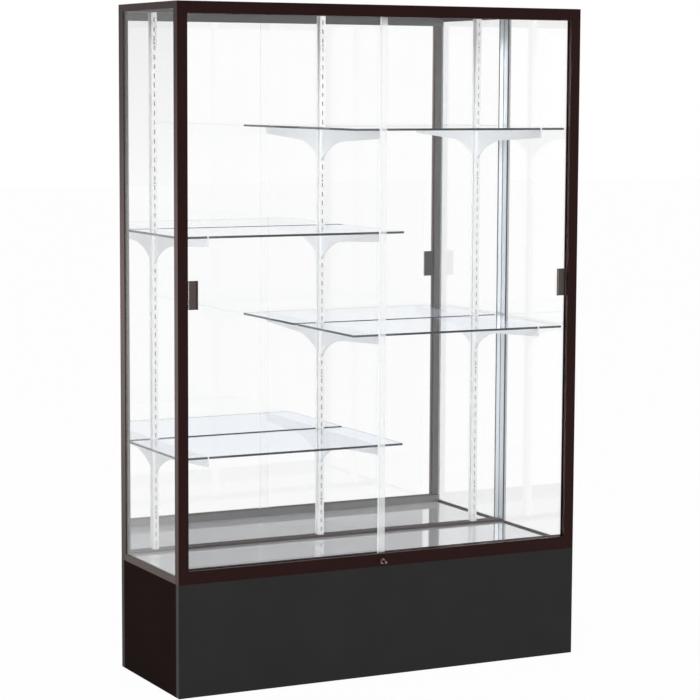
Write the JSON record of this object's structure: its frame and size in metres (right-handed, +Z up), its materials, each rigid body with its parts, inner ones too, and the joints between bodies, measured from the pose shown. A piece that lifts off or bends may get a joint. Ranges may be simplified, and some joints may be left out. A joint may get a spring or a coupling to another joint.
{
  "type": "floor display case",
  "caption": "Floor-standing mirror-backed glass display case on a black plinth, with a bronze frame, sliding glass doors, a push lock and staggered glass shelves on slotted standards.",
  "frame": {"origin": "middle of the plinth's footprint, on the floor", "axes": "+Z up, +X to the right of someone facing the doors, the doors face -Y"},
  "size_m": [1.2192, 0.4294, 1.8288],
  "materials": {
    "laminate_black": "black textured laminate on particle board",
    "raw_board": "unfaced particle board and hardboard",
    "bronze_frame": "satin dark bronze anodised",
    "bronze_trim": "satin dark bronze anodised",
    "grey_laminate": "light grey satin laminate on particle board",
    "dark_board": "dark bronze faced hardboard",
    "clear_glass": "clear polished float glass with blue-green edges",
    "silvered_glass": "silvered float glass",
    "gasket_rubber": "soft dark glazing gasket",
    "white_steel": "satin light grey paint",
    "bright_steel": "bright zinc plated",
    "roller_nylon": "natural nylon",
    "lock_chrome": "polished chrome",
    "lock_brass": "satin brass key face"
  },
  "bodies": {
    "case": {"plinth_front_panel": "laminate_black", "plinth_rear_panel": "laminate_black", "plinth_left_panel": "laminate_black", "plinth_right_panel": "laminate_black", "plinth_top_panel": "raw_board", "plinth_divider": "raw_board", "plinth_corner_blocks": "raw_board", "back_board": "raw_board", "front_left_post": "bronze_frame", "front_right_post": "bronze_frame", "rear_left_post": "bronze_frame", "rear_right_post": "bronze_frame", "post_caps": "bronze_frame", "front_bottom_rail": "bronze_frame", "front_top_rail": "bronze_frame", "left_bottom_rail": "bronze_frame", "right_bottom_rail": "bronze_frame", "left_top_rail": "bronze_frame", "right_top_rail": "bronze_frame", "rear_bottom_rail": "bronze_frame", "rear_top_rail": "bronze_frame", "deck_panel": "grey_laminate", "top_panel": "dark_board", "left_side_glass": "clear_glass", "right_side_glass": "clear_glass", "mirror_panel": "silvered_glass", "side_glass_gaskets": "gasket_rubber", "left_standard": "white_steel", "centre_standard": "white_steel", "right_standard": "white_steel", "lower_left_centre_bracket": "white_steel", "lower_left_outer_bracket": "white_steel", "lower_right_centre_bracket": "white_steel", "lower_right_outer_bracket": "white_steel", "upper_left_centre_bracket": "white_steel", "upper_left_outer_bracket": "white_steel", "upper_right_centre_bracket": "white_steel", "upper_right_outer_bracket": "white_steel", "deck_screws": "bright_steel", "corner_screws": "bright_steel", "standard_screws": "bright_steel", "lock_sleeve": "lock_chrome"},
    "left_door": {"left_door_glass": "clear_glass", "left_door_shoe": "bronze_trim", "left_door_pull": "bronze_trim", "left_door_axles": "bright_steel"},
    "right_door": {"right_door_glass": "clear_glass", "right_door_shoe": "bronze_trim", "right_door_pull": "bronze_trim", "right_door_axles": "bright_steel"},
    "lock_plunger": {"lock_plunger": "lock_chrome"},
    "lock_plug": {"lock_plug": "lock_brass"},
    "lower_left_shelf": {"lower_left_shelf": "clear_glass"},
    "lower_right_shelf": {"lower_right_shelf": "clear_glass"},
    "upper_left_shelf": {"upper_left_shelf": "clear_glass"},
    "upper_right_shelf": {"upper_right_shelf": "clear_glass"},
    "left_door_inner_roller": {"left_door_inner_roller": "roller_nylon"},
    "left_door_outer_roller": {"left_door_outer_roller": "roller_nylon"},
    "right_door_inner_roller": {"right_door_inner_roller": "roller_nylon"},
    "right_door_outer_roller": {"right_door_outer_roller": "roller_nylon"}
  },
  "joints": [
    {"name": "left_door_slide", "type": "slide", "parent": "case", "child": "left_door", "axis": [1, 0, 0], "range_m": [0, 0.5756]},
    {"name": "left_door_inner_roller_spin", "type": "hinge", "parent": "left_door", "child": "left_door_inner_roller", "pos_m": [-0.059, -0.1734, 0.31585], "axis": [0, 1, 0], "continuous": true},
    {"name": "left_door_outer_roller_spin", "type": "hinge", "parent": "left_door", "child": "left_door_outer_roller", "pos_m": [-0.5166, -0.1734, 0.31585], "axis": [0, 1, 0], "continuous": true},
    {"name": "right_door_slide", "type": "slide", "parent": "case", "child": "right_door", "axis": [-1, 0, 0], "range_m": [0, 0.5756]},
    {"name": "right_door_inner_roller_spin", "type": "hinge", "parent": "right_door", "child": "right_door_inner_roller", "pos_m": [0.059, -0.1874, 0.31585], "axis": [0, 1, 0], "continuous": true},
    {"name": "right_door_outer_roller_spin", "type": "hinge", "parent": "right_door", "child": "right_door_outer_roller", "pos_m": [0.5166, -0.1874, 0.31585], "axis": [0, 1, 0], "continuous": true},
    {"name": "lock_push", "type": "slide", "parent": "case", "child": "lock_plunger", "axis": [0, 1, 0], "range_m": [0, 0.0175]},
    {"name": "lock_key_turn", "type": "hinge", "parent": "lock_plunger", "child": "lock_plug", "pos_m": [-0.005, -0.2262, 0.319], "axis": [0, 1, 0], "range_deg": [0, 90]},
    {"name": "lower_left_shelf_lift", "type": "slide", "parent": "case", "child": "lower_left_shelf", "axis": [0, 0, 1], "range_m": [0, 0.025]},
    {"name": "lower_right_shelf_lift", "type": "slide", "parent": "case", "child": "lower_right_shelf", "axis": [0, 0, 1], "range_m": [0, 0.025]},
    {"name": "upper_left_shelf_lift", "type": "slide", "parent": "case", "child": "upper_left_shelf", "axis": [0, 0, 1], "range_m": [0, 0.025]},
    {"name": "upper_right_shelf_lift", "type": "slide", "parent": "case", "child": "upper_right_shelf", "axis": [0, 0, 1], "range_m": [0, 0.025]}
  ],
  "couplings": [
    {"joint": "left_door_inner_roller_spin", "follows": "left_door_slide", "rad_per_m": 142.86},
    {"joint": "left_door_outer_roller_spin", "follows": "left_door_slide", "rad_per_m": 142.86},
    {"joint": "right_door_inner_roller_spin", "follows": "right_door_slide", "rad_per_m": -142.86},
    {"joint": "right_door_outer_roller_spin", "follows": "right_door_slide", "rad_per_m": -142.86}
  ]
}
